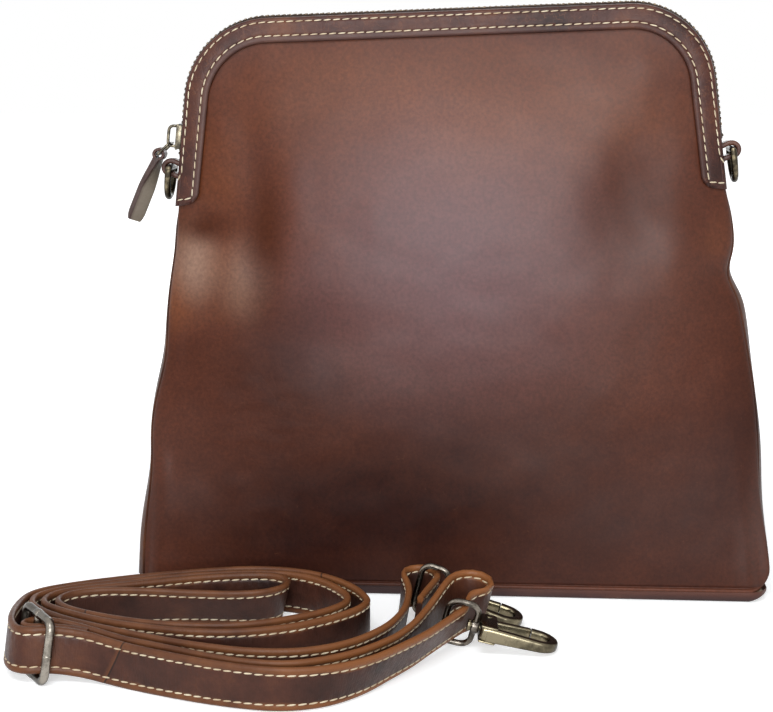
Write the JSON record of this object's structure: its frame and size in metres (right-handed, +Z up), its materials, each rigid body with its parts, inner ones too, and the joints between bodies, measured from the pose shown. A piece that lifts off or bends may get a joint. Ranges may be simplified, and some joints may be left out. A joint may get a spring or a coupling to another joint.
{
  "type": "crossbody bag",
  "caption": "Upright leather crossbody bag with an arched zip top, side rings and an unclipped adjustable shoulder strap coiled beside it.",
  "frame": {"origin": "on the floor under the middle of the bag's base", "axes": "+X across the bag to its right as seen from the front, -Y out of its front, +Z up"},
  "size_m": [0.3278, 0.205, 0.2689],
  "materials": {
    "panel_leather": "waxed pull-up leather, soft sheen",
    "trim_leather": "dark waxed leather, stitched",
    "strap_leather": "waxed leather with rubbed edges",
    "lining_cloth": "plain woven cloth",
    "base_board": "fibre board",
    "zip_tape": "woven tape",
    "antique_brass": "antique brass",
    "aged_metal": "darkened brass"
  },
  "bodies": {
    "bag": {"front_panel": "panel_leather", "back_panel": "panel_leather", "left_gusset": "panel_leather", "right_gusset": "panel_leather", "base_panel": "panel_leather", "base_board": "base_board", "lining": "lining_cloth", "front_zip_facing": "trim_leather", "rear_zip_facing": "trim_leather", "front_zip_tape": "zip_tape", "rear_zip_tape": "zip_tape", "front_zip_teeth": "antique_brass", "rear_zip_teeth": "antique_brass", "front_zip_stop": "antique_brass", "rear_zip_stop": "antique_brass", "zip_end_stop": "antique_brass", "left_ring_tab": "trim_leather", "right_ring_tab": "trim_leather"},
    "zip_slider": {"zip_slider": "aged_metal"},
    "zip_link": {"zip_link": "aged_metal"},
    "zip_pull": {"pull_tab": "trim_leather"},
    "left_ring": {"left_d_ring": "aged_metal"},
    "right_ring": {"right_d_ring": "aged_metal"},
    "strap": {"strap": "strap_leather", "strap_slider": "aged_metal", "clip_a_eye": "aged_metal", "clip_b_eye": "aged_metal"},
    "clip_a": {"clip_a_body": "antique_brass", "clip_a_rivet": "antique_brass"},
    "clip_a_gate": {"clip_a_gate": "antique_brass"},
    "clip_b": {"clip_b_body": "antique_brass", "clip_b_rivet": "antique_brass"},
    "clip_b_gate": {"clip_b_gate": "antique_brass"}
  },
  "joints": [
    {"name": "zip_slide", "type": "slide", "parent": "bag", "child": "zip_slider", "axis": [0.1102, 0, 0.9939], "range_m": [0, 0.016]},
    {"name": "zip_link_swing", "type": "hinge", "parent": "zip_slider", "child": "zip_link", "pos_m": [-0.13034, 0, 0.20513], "axis": [0, 1, 0], "range_deg": [0, 90]},
    {"name": "zip_pull_swing", "type": "hinge", "parent": "zip_link", "child": "zip_pull", "pos_m": [-0.13581, 0, 0.19985], "axis": [0, 1, 0], "range_deg": [0, 45]},
    {"name": "left_ring_swing", "type": "hinge", "parent": "bag", "child": "left_ring", "pos_m": [-0.13043, 0, 0.19383], "axis": [0, 1, 0], "range_deg": [0, 20]},
    {"name": "right_ring_swing", "type": "hinge", "parent": "bag", "child": "right_ring", "pos_m": [0.12442, 0, 0.20306], "axis": [0, -1, 0], "range_deg": [0, 150]},
    {"name": "strap_lift", "type": "slide", "parent": "bag", "child": "strap", "axis": [0, 0, 1], "range_m": [0, 0.25]},
    {"name": "clip_a_swivel", "type": "hinge", "parent": "strap", "child": "clip_a", "pos_m": [0.0064, -0.099, 0.01224], "axis": [0.9726, 0.0301, -0.2306], "continuous": true},
    {"name": "clip_a_gate_swing", "type": "hinge", "parent": "clip_a", "child": "clip_a_gate", "pos_m": [0.01787, -0.09364, 0.00948], "axis": [-0.2305, -0.0071, -0.973], "range_deg": [0, 22], "stiffness_Nm_per_rad": 0.05},
    {"name": "clip_b_swivel", "type": "hinge", "parent": "strap", "child": "clip_b", "pos_m": [-0.007, -0.0623, 0.01319], "axis": [0.9529, -0.1705, -0.2508], "continuous": true},
    {"name": "clip_b_gate_swing", "type": "hinge", "parent": "clip_b", "child": "clip_b_gate", "pos_m": [0.00527, -0.05942, 0.01019], "axis": [-0.2468, 0.0442, -0.968], "range_deg": [0, 22], "stiffness_Nm_per_rad": 0.05}
  ]
}
